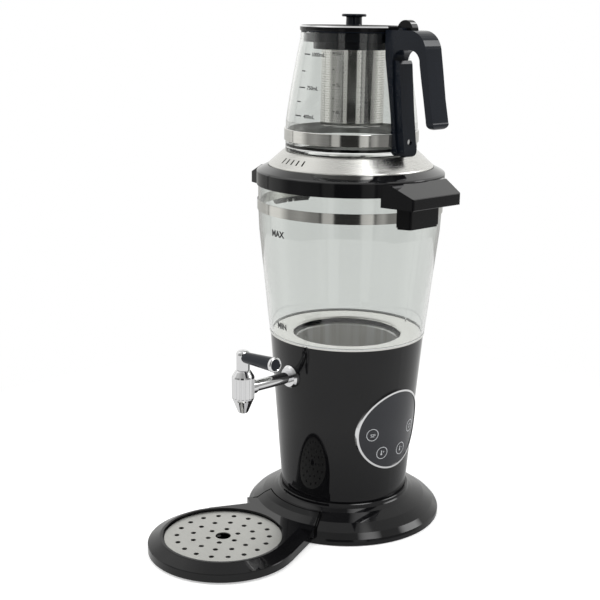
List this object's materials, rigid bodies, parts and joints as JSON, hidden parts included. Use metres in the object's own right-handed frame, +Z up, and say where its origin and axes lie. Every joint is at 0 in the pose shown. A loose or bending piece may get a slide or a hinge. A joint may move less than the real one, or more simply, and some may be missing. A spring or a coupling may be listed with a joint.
{
  "type": "electric samovar",
  "caption": "Free-standing electric tea maker: glass water vessel on a heated base with a side tap and drip tray, and a lidded glass teapot kept warm on top.",
  "frame": {"origin": "body axis at the plane that the rubber ring rests on", "axes": "+Z up along the body axis; the tap and drip tray point toward -Y; the touch panel and the teapot handle are toward +X"},
  "size_m": [0.2408, 0.3472, 0.5277],
  "materials": {
    "gloss_black": "gloss",
    "matt_black": "matt",
    "satin_black": "satin",
    "black_rubber": "matt",
    "zinc_steel": "satin",
    "brushed_steel": "brushed",
    "cast_aluminium": "cast",
    "element_steel": "dull",
    "brass_metal": "satin",
    "board_plastic": "matt",
    "green_board": "satin",
    "blue_plastic": "gloss",
    "yellow_tape": "satin",
    "chrome_trim": "polished",
    "panel_black": "gloss",
    "brown_lead": "satin",
    "red_lead": "satin",
    "clear_glass": "clear",
    "clear_silicone": "translucent"
  },
  "bodies": {
    "base": {"foot_skirt": "gloss_black", "base_plate": "matt_black", "rubber_ring": "black_rubber", "base_screws": "zinc_steel", "body_shell": "gloss_black", "shell_screws": "zinc_steel", "well_deck": "brushed_steel", "well_gasket": "black_rubber", "heating_well": "brushed_steel", "heater_plate": "cast_aluminium", "heater_element": "element_steel", "temperature_probe": "brass_metal", "thermal_cutout": "board_plastic", "power_board": "green_board", "board_screws": "zinc_steel", "board_relay": "blue_plastic", "board_transformer": "yellow_tape", "terminal_blocks": "board_plastic", "control_board": "green_board", "ribbon_cable": "board_plastic", "panel_holder": "matt_black", "panel_ring": "chrome_trim", "panel_glass": "panel_black", "power_inlet": "matt_black", "inlet_pins": "brass_metal", "inlet_screws": "zinc_steel", "mains_leads": "brown_lead", "heater_leads": "red_lead", "tap_flange": "chrome_trim", "tap_pipe": "chrome_trim", "tap_washer": "black_rubber", "tap_nut": "brass_metal", "tap_body": "chrome_trim", "glass_vessel": "clear_glass", "vessel_seal": "clear_silicone", "vessel_band": "brushed_steel", "side_grip_right": "gloss_black", "side_grip_left": "gloss_black", "grip_screws": "zinc_steel"},
    "lid": {"collar_ring": "gloss_black", "lid_gasket": "clear_silicone", "lid_liner": "brushed_steel", "steel_dome": "brushed_steel"},
    "teapot": {"teapot_glass": "clear_glass", "teapot_band": "brushed_steel", "handle_grip": "satin_black", "handle_strap": "satin_black", "handle_screw": "chrome_trim", "hinge_pin": "zinc_steel", "infuser_collar": "satin_black", "infuser_basket": "brushed_steel"},
    "teapot_cover": {"teapot_lid": "satin_black", "lid_plug": "satin_black", "lid_knob": "satin_black"},
    "tap_lever": {"tap_stem": "chrome_trim", "valve_plug": "black_rubber", "lever_rod": "satin_black", "lever_end": "chrome_trim"},
    "tray": {"drip_tray": "gloss_black"},
    "plate": {"drip_plate": "brushed_steel"}
  },
  "joints": [
    {"name": "lid_lift", "type": "slide", "parent": "base", "child": "lid", "axis": [0, 0, 1], "range_m": [0, 0.12]},
    {"name": "teapot_lift", "type": "slide", "parent": "lid", "child": "teapot", "axis": [0, 0, 1], "range_m": [0, 0.1]},
    {"name": "teapot_lid_hinge", "type": "hinge", "parent": "teapot", "child": "teapot_cover", "pos_m": [0.0736, 0, 0.5127], "axis": [0, 1, 0], "range_deg": [0, 100]},
    {"name": "tap_lever_turn", "type": "hinge", "parent": "base", "child": "tap_lever", "pos_m": [0, -0.1416, 0.1652], "axis": [0, 0, 1], "range_deg": [-90, 0]},
    {"name": "drip_tray_pull", "type": "slide", "parent": "base", "child": "tray", "axis": [0, -1, 0], "range_m": [0, 0.06]},
    {"name": "drip_plate_lift", "type": "slide", "parent": "tray", "child": "plate", "axis": [0, 0, 1], "range_m": [0, 0.03]}
  ]
}
